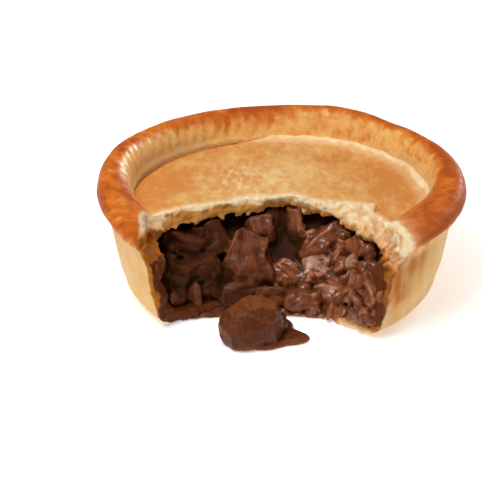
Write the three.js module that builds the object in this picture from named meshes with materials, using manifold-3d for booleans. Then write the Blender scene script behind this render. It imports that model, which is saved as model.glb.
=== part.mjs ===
// A single-serve steak pie with its front torn open, in millimetres with +Z up.
// The pie's axis is Z, it rests on Z = 0 and the torn opening faces -Y.
// It has a thick pastry case with a raised, crimped rim, a sunken pastry lid, a filling of
// steak chunks in gravy that slopes out of the opening, and one chunk that has slid out.
import * as THREE from "three";
import { mergeVertices } from "three/addons/utils/BufferGeometryUtils.js";
import Module from "manifold-3d";

const wasm = await Module();
wasm.setup();

// Pastry case
const HEIGHT = 38.6; // crest of the rim
const RIM_RADIUS = 60; // widest point of the rim
const RIM_BULGE_HEIGHT = 35.2; // height of that widest point
const RIM_FOOT = 30; // underside of the rim, where it overhangs the wall
const CREST_RADIUS = 55.8;
const WALL_TOP_RADIUS = 56.6;
const WALL_FOOT_RADIUS = 52;
const WALL_THICKNESS = 4.6;
const WALL_BOW = 0.3; // how far the wall swells out half-way up
const BASE_FLAT_RADIUS = 45;
const BASE_THICKNESS = 4;
const CORNER_HEIGHT = 6.5; // rounding between base and wall

// Ribs pressed into the rim's inner face
const RIB_COUNT = 80;
const RIB_DEPTH = 0.38;
const RIB_UNEVENNESS = 0.25;
const RIB_UNEVENNESS_COUNT = 3; // times round the rim

// The rim is shaped by hand: it sways in and out and its crest rises and falls round the pie.
const RIM_SWAY = [
  { amount: 0.2, count: 2, phase: -1.2 },
  { amount: -0.4, count: 3, phase: 0 },
];
const RIM_LIFT = [
  { amount: 0.45, count: 1, phase: -1.2 },
  { amount: 0.18, count: 4, phase: 0 },
];
// The crest also stands up at the left and the back, and slumps where it was torn.
const CREST_RISES = [
  // degrees from the front, rise
  [-180, -0.6], [-160, -0.7], [-140, 0], [-128, 0.8], [-116, 1.7], [-95, 1.8], [-78, 1.1],
  [-64, -0.5], [-50, -2], [0, -2], [45, -1.7], [58, -0.6], [72, 0], [100, 0.3],
  [128, -0.6], [138, -0.4], [147, 0.7], [156, 1.3], [166, 0.6], [180, -0.6],
];
const LIP_LIFT = 2.5; // how much higher the rim's underside sits at the sides than at the back
const LIP_REACH = 6; // how far above and below its underside that lift dies away

// Sunken lid
const LID_RADIUS = 49.4;
const LID_EDGE_TOP = 29.3;
const LID_EDGE_ROUNDING = 1.1;
const LID_THICKNESS = 3.8;
const LID_DOME = 2.1; // rise of the middle above the edge
const LID_DOME_BELOW = 1.5;
const LID_UNDULATION = 0.35;
const LID_UNDULATION_COUNT = 3;
const LID_UNDULATION_TWIST = 0.14; // radians for each millimetre of radius
const LID_CALM_RADIUS = 10; // the undulation dies away in the middle
const LEDGE_WIDTH = 2.4; // how far the lid's edge rests on the case
const GROOVE_WIDTH = 0.7; // between the lid's edge and the foot of the rim
const GROOVE_DEPTH = 1.2;
const RIM_INNER_LEAN = 2;

// Filling
const FILLING_TOP = 26.8; // it fills the case up to the lid, but sinks towards the wall
const FILLING_CROWN_RADIUS = 36;
const FILLING_EDGE_TOP = 20;
const FILLING_TOE_RADIUS = 40; // where the gravy meets the floor
const CLEARANCE = 0.35; // gap between neighbouring pieces

// Fineness
// Segments round the axis, in numbers with no common factor, so that no edges of two pieces meet in one plane
const SMOOTH_CASE_SEGMENTS = 59;
const LID_SEGMENTS = 56;
const FILLING_SEGMENTS = 53;
const PUDDLE_SEGMENTS = 40;
const PROFILE_STEPS = 3; // to each curved stretch of a profile
const CHUNK_SIDES = 3;
const SPILLED_CHUNK_SIDES = 4;

// Torn surfaces
const TEAR_ROUGHNESS = 0.9;
const TEAR_COLUMNS = 46;
const TEAR_LEVELS = 21;
const TEAR_REACH = 90; // how far in front of the pie a torn-away volume extends
const TEAR_FLOOR = -6;
const TEAR_CEILING = 48;

function plan(x, y) {
  return new THREE.Vector2(x, y);
}

// A plan point from a radius and an angle in degrees, counted from the front towards +X.
function fromFront(radius, degrees) {
  const angle = THREE.MathUtils.degToRad(degrees);
  return plan(radius * Math.sin(angle), -radius * Math.cos(angle));
}

// Where the pastry and the filling were torn, seen from above, from left to right. A tear follows one line
// up to its bottom height and another from its top height on. The wall stands further out than the rim.
const LEFT_TEAR_ANGLE = -48;
const RIGHT_TEAR_ANGLE = 36;
const CASE_TEAR_AT_BASE = [
  fromFront(68, LEFT_TEAR_ANGLE),
  fromFront(56, LEFT_TEAR_ANGLE + 1),
  fromFront(45, LEFT_TEAR_ANGLE),
  plan(-18, -24),
  plan(-2, -23),
  plan(13, -25.5),
  fromFront(42, RIGHT_TEAR_ANGLE - 3),
  fromFront(55, RIGHT_TEAR_ANGLE + 1),
  fromFront(68, RIGHT_TEAR_ANGLE + 2),
];
const CASE_TEAR_AT_RIM = [
  fromFront(68, LEFT_TEAR_ANGLE + 4),
  fromFront(57, LEFT_TEAR_ANGLE),
  fromFront(46, LEFT_TEAR_ANGLE - 16),
  plan(-22, -11),
  plan(-2, -8),
  plan(20, -9),
  fromFront(40, RIGHT_TEAR_ANGLE + 21),
  fromFront(54, RIGHT_TEAR_ANGLE + 8),
  fromFront(68, RIGHT_TEAR_ANGLE + 4),
];
const LID_TEAR_BELOW = [
  plan(-58, -28),
  plan(-46, -22),
  plan(-38, -18),
  plan(-26, -10),
  plan(-10, -4),
  plan(3, 1.5),
  plan(12, -4),
  plan(22, -12),
  plan(29, -21),
  plan(35, -31),
  plan(44, -46),
];
const LID_TEAR_ABOVE = [
  plan(-58, -24),
  plan(-46, -17),
  plan(-38, -12.5),
  plan(-26, -7),
  plan(-10, -3.5),
  plan(1, -1),
  plan(11, -5.5),
  plan(26, -8.5),
  plan(30, -15),
  plan(35, -24),
  plan(47, -40),
];
const FILLING_TEAR_AT_BASE = [
  plan(-54, -42),
  plan(-38, -34),
  plan(-31, -29.5),
  plan(-20, -27.5),
  plan(-6, -26.5),
  plan(8, -27.5),
  plan(18, -30.5),
  plan(27, -37.5),
  plan(42, -54),
];
const FILLING_TEAR_AT_TOP = [
  plan(-56, -20),
  plan(-42, -14),
  plan(-34, -8),
  plan(-22, -1),
  plan(-4, 4.5),
  plan(10, 2.5),
  plan(22, -3.5),
  plan(32, -15),
  plan(46, -32),
];
const CASE_TEAR = {
  below: CASE_TEAR_AT_BASE,
  above: CASE_TEAR_AT_RIM,
  bottom: 24,
  top: 28.4,
  seed: 3,
};
const LID_TEAR = {
  below: LID_TEAR_BELOW,
  above: LID_TEAR_ABOVE,
  bottom: LID_EDGE_TOP - LID_THICKNESS,
  top: LID_EDGE_TOP + LID_DOME,
  seed: 61,
};
const FILLING_TEAR = {
  below: FILLING_TEAR_AT_BASE,
  above: FILLING_TEAR_AT_TOP,
  bottom: 0,
  top: FILLING_TOP,
  seed: 127,
};

// Steak chunks that show in the opening: middle, size and turn in degrees about X, Y and Z.
const CHUNKS = [
  { at: [-9.5, -11.5, 15.5], size: [15, 12, 19], turn: [-38, 6, 12] },
  { at: [6.5, -5.5, 18.5], size: [8, 9, 11], turn: [-30, -8, 0] },
  { at: [16.5, -8.5, 18], size: [16, 10, 8], turn: [-30, -28, 10] },
  { at: [12, -16, 12], size: [11, 9, 10], turn: [-20, 15, 30] },
  { at: [3, -17, 11.5], size: [11, 9, 11], turn: [-45, 0, -20] },
  { at: [26.5, -14, 16.5], size: [12, 11, 12], turn: [-25, 20, 40] },
  { at: [20.5, -25, 7.5], size: [17, 10, 9], turn: [-10, 10, -25] },
  { at: [28, -25, 10.5], size: [9, 9, 13], turn: [-25, -10, 35] },
  { at: [-31, -12, 17.5], size: [14, 11, 9], turn: [-20, 12, -15] },
  { at: [-22, -12, 15.5], size: [10, 10, 14], turn: [-40, -6, 10] },
  { at: [-27, -21, 10], size: [14, 11, 11], turn: [-15, -14, 25] },
  { at: [-15, -21, 9], size: [12, 10, 11], turn: [-35, 10, 0] },
  { at: [-3, -23, 7.5], size: [11, 8, 8], turn: [-20, 0, 15] },
  { at: [10, -24, 7], size: [13, 8, 7], turn: [-15, -6, -10] },
  { at: [-33, -27, 10], size: [9, 10, 12], turn: [-25, 12, -20] },
];
const CHUNK_ROUNDNESS = 0.74; // 0 is a block, 1 is an egg
const CHUNK_EGG_RADIUS = 0.58; // in a block of size 1
const CHUNK_RAGGEDNESS = 0.09;
const CHUNK_RAGGED_STEPS = new THREE.Vector3(3, 2, 5); // how fast that changes along each side

// The meat that slid out, and the gravy that it sits in
const SPILLED_CHUNKS = [
  { at: [-9.4, -41.2, 6.9], size: [19, 13, 16.5], turn: [-6, 0, 6] },
  { at: [-4, -36.5, 3.8], size: [10, 10, 9.5], turn: [0, 30, 0] },
];
const SPILL_SWELL = 1.05; // of the space that the filling leaves round it
const GRAVY_MIDDLE = plan(-7.5, -39);
const GRAVY_RADIUS = 10.6;
const GRAVY_HEIGHT = 2.2;
const GRAVY_LOBES = 0.8; // how far the puddle's edge bulges
const GRAVY_LOBE_COUNT = 3;
const GRAVY_RUN = 6.4; // extra reach of the run of gravy to the right
const GRAVY_RUN_ANGLE = 83;
const GRAVY_RUN_SHARPNESS = 12;
const GRAVY_SECTION = [plan(0, 0), plan(1, 0), plan(1.02, 0.35), plan(0.9, 0.8), plan(0.6, 1), plan(0, 1)];

const pastry = new THREE.MeshStandardMaterial({ color: 0xd08a48, roughness: 0.6, metalness: 0 });
const lidPastry = new THREE.MeshStandardMaterial({ color: 0xd9a164, roughness: 0.65, metalness: 0 });
const steakInGravy = new THREE.MeshStandardMaterial({ color: 0x4b281b, roughness: 0.3, metalness: 0 });

// A repeatable number from -1 to 1 for a pair of numbers.
function scatter(i, j) {
  const wave = Math.sin(i * 127.1 + j * 311.7) * 43758.5453;
  return 2 * (wave - Math.floor(wave)) - 1;
}

// The sum of some waves round the pie.
function waves(list, angle) {
  return list.reduce((sum, { amount, count, phase }) => sum + amount * Math.sin(count * angle + phase), 0);
}

// Closed triangles to a solid that can be joined and cut.
function solidOf(geometry) {
  const bare = new THREE.BufferGeometry();
  bare.setAttribute("position", geometry.getAttribute("position"));
  bare.setIndex(geometry.getIndex());
  const merged = mergeVertices(bare);
  const corners = merged.getIndex().array;
  const triVerts = [];
  for (let i = 0; i < corners.length; i += 3) {
    const [a, b, c] = corners.subarray(i, i + 3);
    if (a !== b && b !== c && c !== a) triVerts.push(a, b, c);
  }
  return new wasm.Manifold(
    new wasm.Mesh({
      numProp: 3,
      vertProperties: merged.getAttribute("position").array,
      triVerts: new Uint32Array(triVerts),
    }),
  );
}

// The largest body of a solid, without loose scraps.
function largestBody(solid) {
  return solid.decompose().sort((a, b) => b.volume() - a.volume())[0];
}

function meshOf(solid, name, material) {
  const { vertProperties, triVerts } = largestBody(solid).getMesh();
  const geometry = new THREE.BufferGeometry();
  geometry.setAttribute("position", new THREE.BufferAttribute(vertProperties, 3));
  geometry.setIndex(new THREE.BufferAttribute(triVerts, 1));
  geometry.computeVertexNormals();
  const mesh = new THREE.Mesh(geometry, material);
  mesh.name = name;
  return mesh;
}

// A profile of radius and height spun about Z. The warp moves each point, given as radius, angle and height.
function spin(profile, segments, warp = (place) => place) {
  const geometry = new THREE.LatheGeometry(profile, segments);
  geometry.rotateX(Math.PI / 2);
  const position = geometry.getAttribute("position");
  for (let i = 0; i < position.count; i++) {
    const [x, y, z] = [position.getX(i), position.getY(i), position.getZ(i)];
    const moved = warp({ radius: Math.hypot(x, y), angle: Math.atan2(x, -y), z });
    position.setXYZ(i, moved.radius * Math.sin(moved.angle), -moved.radius * Math.cos(moved.angle), moved.z);
  }
  return solidOf(geometry);
}

// A profile whose points are moved outwards by a distance, except along the axis.
function grown(profile, distance) {
  return profile.map((point, i) => {
    const before = profile[Math.max(i - 1, 0)];
    const after = profile[Math.min(i + 1, profile.length - 1)];
    const along = after.clone().sub(before).normalize();
    const moved = point.clone().add(plan(along.y, -along.x).multiplyScalar(distance));
    if (point.x === 0) moved.x = 0;
    return moved;
  });
}

// Levels from bottom to top, each a height and a ring counterclockwise from above, closed at both ends.
function loft(levels) {
  const count = levels[0].ring.length;
  const position = levels.flatMap(({ height, ring }) => ring.flatMap(({ x, y }) => [x, y, height]));
  const index = [];
  for (let level = 0; level + 1 < levels.length; level++) {
    for (let j = 0; j < count; j++) {
      const a = level * count + j;
      const b = level * count + ((j + 1) % count);
      index.push(a, b, b + count, a, b + count, a + count);
    }
  }
  const top = (levels.length - 1) * count;
  const bottomFaces = THREE.ShapeUtils.triangulateShape(levels[0].ring, []);
  const topFaces = THREE.ShapeUtils.triangulateShape(levels.at(-1).ring, []);
  for (const [a, b, c] of bottomFaces) index.push(a, c, b);
  for (const [a, b, c] of topFaces) index.push(top + a, top + b, top + c);
  const geometry = new THREE.BufferGeometry();
  geometry.setAttribute("position", new THREE.Float32BufferAttribute(position, 3));
  geometry.setIndex(index);
  return solidOf(geometry);
}

// The volume torn away in front of a line in plan that changes from a lower to an upper height.
function tornAway({ below, above, bottom, top, seed, setBack = 0 }) {
  const lower = new THREE.SplineCurve(below);
  const upper = new THREE.SplineCurve(above);

  function raggedRing(height, step) {
    const share = THREE.MathUtils.clamp((height - bottom) / (top - bottom), 0, 1);
    const ring = [plan(-TEAR_REACH, -TEAR_REACH), plan(TEAR_REACH, -TEAR_REACH)];
    for (let column = TEAR_COLUMNS; column >= 0; column--) {
      const along = column / TEAR_COLUMNS;
      const point = lower.getPoint(along).lerp(upper.getPoint(along), share);
      const tangent = lower.getTangent(along).lerp(upper.getTangent(along), share).normalize();
      const back = setBack + TEAR_ROUGHNESS * scatter(column + seed, step);
      ring.push(point.add(plan(-tangent.y, tangent.x).multiplyScalar(back)));
    }
    return ring;
  }

  const levels = [];
  for (let step = 0; step <= TEAR_LEVELS; step++) {
    const height = THREE.MathUtils.lerp(TEAR_FLOOR, TEAR_CEILING, step / TEAR_LEVELS);
    levels.push({ height, ring: raggedRing(height, step) });
  }
  return loft(levels);
}

// The case's section, from the middle of the base round the wall and rim to the middle of the floor inside.
function caseProfile() {
  const ledgeHeight = LID_EDGE_TOP - LID_THICKNESS - CLEARANCE;
  const seamRadius = LID_RADIUS + CLEARANCE;
  const grooveTop = LID_EDGE_TOP + GROOVE_DEPTH;
  const middleRadius = (WALL_FOOT_RADIUS + WALL_TOP_RADIUS) / 2 + WALL_BOW;
  const middleHeight = (CORNER_HEIGHT + RIM_FOOT) / 2;
  const innerFoot = WALL_FOOT_RADIUS - WALL_THICKNESS;
  const path = new THREE.Path();
  path.moveTo(0, 0);
  path.lineTo(BASE_FLAT_RADIUS, 0);
  path.quadraticCurveTo(WALL_FOOT_RADIUS, 0, WALL_FOOT_RADIUS, CORNER_HEIGHT);
  path.lineTo(middleRadius, middleHeight);
  path.lineTo(WALL_TOP_RADIUS, RIM_FOOT);
  path.quadraticCurveTo(RIM_RADIUS, RIM_FOOT, RIM_RADIUS, RIM_BULGE_HEIGHT);
  path.quadraticCurveTo(RIM_RADIUS, HEIGHT, CREST_RADIUS, HEIGHT);
  path.quadraticCurveTo(seamRadius + RIM_INNER_LEAN, HEIGHT, seamRadius + GROOVE_WIDTH, grooveTop);
  path.lineTo(seamRadius, LID_EDGE_TOP);
  path.lineTo(seamRadius, ledgeHeight);
  path.lineTo(LID_RADIUS - LEDGE_WIDTH, ledgeHeight);
  path.lineTo(middleRadius - WALL_THICKNESS, middleHeight);
  path.lineTo(innerFoot, BASE_THICKNESS + CORNER_HEIGHT);
  path.quadraticCurveTo(innerFoot, BASE_THICKNESS, innerFoot - CORNER_HEIGHT, BASE_THICKNESS);
  path.lineTo(0, BASE_THICKNESS);
  return path.getPoints(PROFILE_STEPS);
}

// How far the crest stands up at an angle from the front.
function crestRise(angle) {
  const degrees = THREE.MathUtils.radToDeg(Math.atan2(Math.sin(angle), Math.cos(angle)));
  const next = Math.max(1, CREST_RISES.findIndex(([end]) => end >= degrees));
  const [[start, low], [end, high]] = CREST_RISES.slice(next - 1, next + 1);
  return THREE.MathUtils.mapLinear(degrees, start, end, low, high);
}

// Moves a point of the case for the unevenness of the rim and the ribs on its inner face.
function crimpedRim({ radius, angle, z }) {
  const liftShare = THREE.MathUtils.smoothstep(z, LID_EDGE_TOP, HEIGHT);
  const swayShare = THREE.MathUtils.smoothstep(radius, LID_RADIUS + RIM_INNER_LEAN, RIM_RADIUS);
  const onInnerFace = radius < CREST_RADIUS - RIB_DEPTH && z > LID_EDGE_TOP + RIB_DEPTH;
  const ribHeight = RIB_DEPTH * (1 + RIB_UNEVENNESS * Math.sin(RIB_UNEVENNESS_COUNT * angle));
  const rib = onInnerFace ? ribHeight * Math.cos(RIB_COUNT * angle) : 0;
  const lift = (waves(RIM_LIFT, angle) + crestRise(angle)) * liftShare;
  const lipShare = radius > CREST_RADIUS ? Math.max(0, 1 - Math.abs(z - RIM_FOOT) / LIP_REACH) : 0;
  return {
    radius: radius + waves(RIM_SWAY, angle) * swayShare - rib,
    angle,
    z: z + lift + LIP_LIFT * Math.sin(angle) ** 2 * lipShare,
  };
}

// Growth adds a skin all over, torn edge included, for cutting a neighbour clear of the case.
function caseSolid(growth = 0) {
  const segments = growth ? SMOOTH_CASE_SEGMENTS : 2 * RIB_COUNT;
  const whole = spin(grown(caseProfile(), growth), segments, crimpedRim);
  return whole.subtract(tornAway({ ...CASE_TEAR, setBack: -growth }));
}

function lidProfile() {
  const underEdge = LID_EDGE_TOP - LID_THICKNESS;
  const underMiddle = underEdge + LID_DOME_BELOW;
  const topMiddle = LID_EDGE_TOP + LID_DOME;
  const path = new THREE.Path();
  path.moveTo(0, underMiddle);
  path.quadraticCurveTo(LID_RADIUS / 2, underMiddle, LID_RADIUS - LEDGE_WIDTH, underEdge);
  path.lineTo(LID_RADIUS, underEdge);
  path.lineTo(LID_RADIUS, LID_EDGE_TOP - LID_EDGE_ROUNDING);
  path.quadraticCurveTo(LID_RADIUS, LID_EDGE_TOP, LID_RADIUS - LID_EDGE_ROUNDING, LID_EDGE_TOP);
  path.quadraticCurveTo(LID_RADIUS / 2, topMiddle, 0, topMiddle);
  return path.getPoints(PROFILE_STEPS);
}

// Moves a point of the lid for its slow rise and fall, which fades out where it rests on the case.
function undulation({ radius, angle, z }) {
  const edgeFade = 1 - THREE.MathUtils.smoothstep(radius, LID_RADIUS / 2, LID_RADIUS - LEDGE_WIDTH);
  const middleFade = Math.min(1, radius / LID_CALM_RADIUS);
  const wave = Math.sin(LID_UNDULATION_COUNT * angle + LID_UNDULATION_TWIST * radius);
  return { radius, angle, z: z + LID_UNDULATION * edgeFade * middleFade * wave };
}

function lidSolid(growth = 0) {
  const whole = spin(grown(lidProfile(), growth), LID_SEGMENTS, undulation);
  return whole.subtract(tornAway({ ...LID_TEAR, setBack: -growth }));
}

// A rounded, ragged block of meat.
function chunkSolid({ at, size, turn }, sides = CHUNK_SIDES) {
  const geometry = new THREE.BoxGeometry(1, 1, 1, sides, sides, sides);
  const position = geometry.getAttribute("position");
  const point = new THREE.Vector3();
  for (let i = 0; i < position.count; i++) {
    point.fromBufferAttribute(position, i);
    const { x, y, z } = point.clone().multiply(CHUNK_RAGGED_STEPS);
    const ragged = 1 + CHUNK_RAGGEDNESS * scatter(at[0] + x + y, at[2] + z);
    const egg = point.clone().setLength(CHUNK_EGG_RADIUS);
    point.lerp(egg, CHUNK_ROUNDNESS).multiplyScalar(ragged);
    position.setXYZ(i, point.x, point.y, point.z);
  }
  const radians = turn.map(THREE.MathUtils.degToRad);
  const place = new THREE.Matrix4().compose(
    new THREE.Vector3(...at),
    new THREE.Quaternion().setFromEuler(new THREE.Euler(...radians)),
    new THREE.Vector3(...size),
  );
  geometry.applyMatrix4(place);
  return solidOf(geometry);
}

// The space inside the case, up to the filling's level. Its front slopes out of the opening to the floor.
function fillingCore() {
  const profile = [
    plan(0, 0),
    plan(FILLING_TOE_RADIUS, 0),
    plan(WALL_TOP_RADIUS, CORNER_HEIGHT),
    plan(WALL_TOP_RADIUS, FILLING_EDGE_TOP),
    plan(FILLING_CROWN_RADIUS, FILLING_TOP),
    plan(0, FILLING_TOP),
  ];
  return spin(profile, FILLING_SEGMENTS).subtract(tornAway(FILLING_TEAR));
}

// The puddle under the spilled chunk, with one run of gravy that reaches out to the right.
function gravyPuddle() {
  const run = THREE.MathUtils.degToRad(GRAVY_RUN_ANGLE);
  const spread = ({ radius, angle, z }) => {
    const reach = GRAVY_RUN * Math.exp(GRAVY_RUN_SHARPNESS * (Math.cos(angle - run) - 1));
    const edge = GRAVY_RADIUS + reach + GRAVY_LOBES * Math.sin(GRAVY_LOBE_COUNT * angle);
    return { radius: radius * edge, angle, z: z * GRAVY_HEIGHT };
  };
  return spin(GRAVY_SECTION, PUDDLE_SEGMENTS, spread).translate([GRAVY_MIDDLE.x, GRAVY_MIDDLE.y, 0]);
}

function belowFloor() {
  const block = new THREE.BoxGeometry(4 * RIM_RADIUS, 4 * RIM_RADIUS, HEIGHT);
  return solidOf(block.translate(0, 0, -HEIGHT / 2));
}

function spilledSolid() {
  const chunks = SPILLED_CHUNKS.map((chunk) => chunkSolid(chunk, SPILLED_CHUNK_SIDES));
  const spill = chunks.reduce((joined, chunk) => joined.add(chunk), gravyPuddle());
  return spill.subtract(belowFloor()).subtract(caseSolid(CLEARANCE));
}

// A slightly larger copy about a point on the floor.
function swollen(solid, { x, y }, scale) {
  return solid.translate([-x, -y, 0]).scale(scale).translate([x, y, 0]);
}

function fillingSolid(spilled) {
  const chunks = CHUNKS.map((chunk) => chunkSolid(chunk));
  const heap = chunks.reduce((joined, chunk) => joined.add(chunk), fillingCore());
  return heap
    .subtract(caseSolid(CLEARANCE))
    .subtract(lidSolid(CLEARANCE))
    .subtract(swollen(spilled, GRAVY_MIDDLE, SPILL_SWELL))
    .subtract(belowFloor());
}

const spilled = spilledSolid();
const pie = new THREE.Group();
pie.name = "steak_pie";
pie.add(meshOf(caseSolid(), "pastry_case", pastry));
pie.add(meshOf(lidSolid(), "pastry_lid", lidPastry));
pie.add(meshOf(fillingSolid(spilled), "filling", steakInGravy));
pie.add(meshOf(spilled, "spilled_steak", steakInGravy));

export default pie;
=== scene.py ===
import math
from collections import namedtuple

import bpy
import numpy as np
from bpy.props import FloatProperty, FloatVectorProperty, IntProperty, PointerProperty
from mathutils import Euler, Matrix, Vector, noise
from mathutils.bvhtree import BVHTree


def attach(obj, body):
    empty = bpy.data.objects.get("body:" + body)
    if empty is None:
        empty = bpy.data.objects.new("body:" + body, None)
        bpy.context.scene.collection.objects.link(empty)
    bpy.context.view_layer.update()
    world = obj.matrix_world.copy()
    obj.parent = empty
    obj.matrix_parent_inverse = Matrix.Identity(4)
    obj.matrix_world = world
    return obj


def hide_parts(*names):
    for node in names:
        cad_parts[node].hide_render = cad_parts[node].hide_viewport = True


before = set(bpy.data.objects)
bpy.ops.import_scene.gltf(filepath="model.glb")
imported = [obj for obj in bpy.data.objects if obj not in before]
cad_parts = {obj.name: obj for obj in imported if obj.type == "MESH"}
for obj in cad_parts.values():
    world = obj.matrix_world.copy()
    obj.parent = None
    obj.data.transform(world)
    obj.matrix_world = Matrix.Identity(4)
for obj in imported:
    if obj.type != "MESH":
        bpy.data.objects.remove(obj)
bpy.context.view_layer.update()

bl_info = {
    "name": "Steak pie",
    "version": (1, 0, 0),
    "blender": (4, 5, 0),
    "location": "View3D > Sidebar > Pie",
    "description": "Models a single-serve steak pie, torn open at the front",
    "category": "Object",
}

# Tables, vertices' places and the finishes' patterns are in millimetres, Blender's own lengths in metres.
MM = 0.001
PIECE_TRIANGLES = 190000

# A tear: a line in plan at each of two heights, with the front at -y, how rough it is, and its lumps' seed.
# Its sheet has columns and rows, between two heights, and is extruded to the front by a reach. Angles are
# in degrees from the front, positive to the right.
Tear = namedtuple("Tear", "below above bottom top roughness seed")
LEFT_TEAR = -48
RIGHT_TEAR = 36
TEAR_COLUMNS = 220
TEAR_ROWS = 70
TEAR_LOW = -8
TEAR_HIGH = 47
TEAR_REACH = 120


def from_front(radius, degrees):
    """A point in plan at a radius and an angle from the front."""
    turn = math.radians(degrees)
    return radius * math.sin(turn), -radius * math.cos(turn)


CASE_TEAR = Tear(
    below=[from_front(68, LEFT_TEAR), from_front(56, LEFT_TEAR + 1), from_front(45, LEFT_TEAR), (-18, -24),
           (-2, -23), (13, -25.5), from_front(42, RIGHT_TEAR - 3), from_front(55, RIGHT_TEAR + 1),
           from_front(68, RIGHT_TEAR + 2)],
    above=[from_front(68, LEFT_TEAR + 4), from_front(57, LEFT_TEAR), from_front(46, LEFT_TEAR - 16),
           (-22, -11), (-2, -8), (20, -9), from_front(40, RIGHT_TEAR + 21), from_front(54, RIGHT_TEAR + 8),
           from_front(68, RIGHT_TEAR + 4)],
    bottom=24, top=28.4, roughness=0.8, seed=31,
)
LID_TEAR = Tear(
    below=[(-58, -28), (-46, -22), (-38, -18), (-26, -10), (-10, -4), (3, 1.5), (12, -4), (22, -12),
           (29, -21), (35, -31), (44, -46)],
    above=[(-58, -24), (-46, -17), (-38, -12.5), (-26, -7), (-10, -3.5), (1, -1), (11, -5.5), (26, -8.5),
           (30, -15), (35, -24), (47, -40)],
    bottom=25.5, top=31.4, roughness=1.5, seed=41,
)
FILLING_TEAR = Tear(
    below=[(-54, -42), (-38, -34), (-31, -29.5), (-20, -27.5), (-6, -26.5), (8, -27.5), (18, -30.5),
           (27, -37.5), (42, -54)],
    above=[(-56, -20), (-42, -14), (-34, -8), (-22, -1), (-4, 4.5), (10, 2.5), (22, -3.5), (32, -15),
           (46, -32)],
    bottom=0, top=26.8, roughness=0.5, seed=51,
)

# Where in x the filling's front steps up from the floor onto the torn base, and a small gap at the floor.
BASE_EDGE = (14, 20)
FLOOR_GAP = 0.1

# The case's rim: how far in its crest and its seam with the lid are, and the ledge under the lid. Then the
# heights over which the wall becomes the rim, the ribs begin and end, and the lip's lift begins and ends,
# how much more the lip lifts at the left, and its extra lift at an angle by the tear's right end.
CREST_INSET = 4.2
SEAM_INSET = 10.25
LEDGE_HEIGHT = 25.15
WALL_TO_RIM = (24, 34)
RIBS_BEGIN = (30.6, 33)
RIBS_END = (38.5, 36)
LIP_BEGINS = (24, 29.6)
LIP_ENDS = (37, 31)
LEFT_LIP_SHARE = 1.25
TORN_LIP_LIFT = 1.4
TORN_LIP_ANGLE = 42

# Pairs of an angle and a value round the rim: how much it lifts, the radius where its inner face meets the
# lid, and how far down that face it browned, as a share. They are evened out over a few angles.
RIM_LIFTS = [
    (-160, -0.7), (-140, 0), (-128, 0.8), (-116, 1.8), (-95, 1.9), (-78, 1.2), (-64, -0.6), (-50, -2.2),
    (0, -2), (45, -1.8), (58, -0.6), (72, 0), (100, 0.4), (115, -0.3), (128, -0.7), (138, -0.5), (147, 0.8),
    (156, 1.5), (166, 0.7), (180, -0.6),
]
SEAM_RADII = [
    (-104, 49.75), (-93, 48.4), (-77, 44.5), (-62, 41), (62, 36.5), (81, 43.5), (93, 48.5), (103, 49.75),
]
BROWNED_SHARES = [
    (-150, 0.6), (-125, 0.42), (-100, 0.32), (-88, 0.6), (-70, 0.95), (70, 0.95), (88, 0.7), (100, 0.32),
    (140, 0.36), (180, 0.58),
]
EVENING_ANGLES = np.linspace(-8, 8, 9)

# Waves round the rim: how far each one swings, how many fit in a turn, and where it starts, in radians.
SWAY_WAVES = [(0.2, 2, -1.2), (-0.4, 3, 0)]
LIFT_WAVES = [(0.45, 1, -1.2), (0.18, 4, 0)]
RIB_WAVES = [(0.9, 3, 1), (0.6, 7, 0), (0.9, 13, 0)]

# Crumb on the torn edges, and the lump of it where the rim's left end meets the lid: its middle and reach.
CRUMB_TRIES = 900
CASE_CRUMB_SEED = 33
LID_CRUMB_SEED = 43
CRUMBLED = np.array((-40.5, -21.5, 30.5))
CRUMBLED_REACH = np.array((6, 4.5, 4.5))
CRUMBLED_COUNT = 18

# The lid: the height of its seat and of its underside in the middle, its edge's rounding, and the middle of
# the pale flecks on it.
LID_SEAT = 25.5
LID_UNDERSIDE = 27
LID_ROUNDING = 1.1
FLECKED = (-11, 11, 31)

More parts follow.
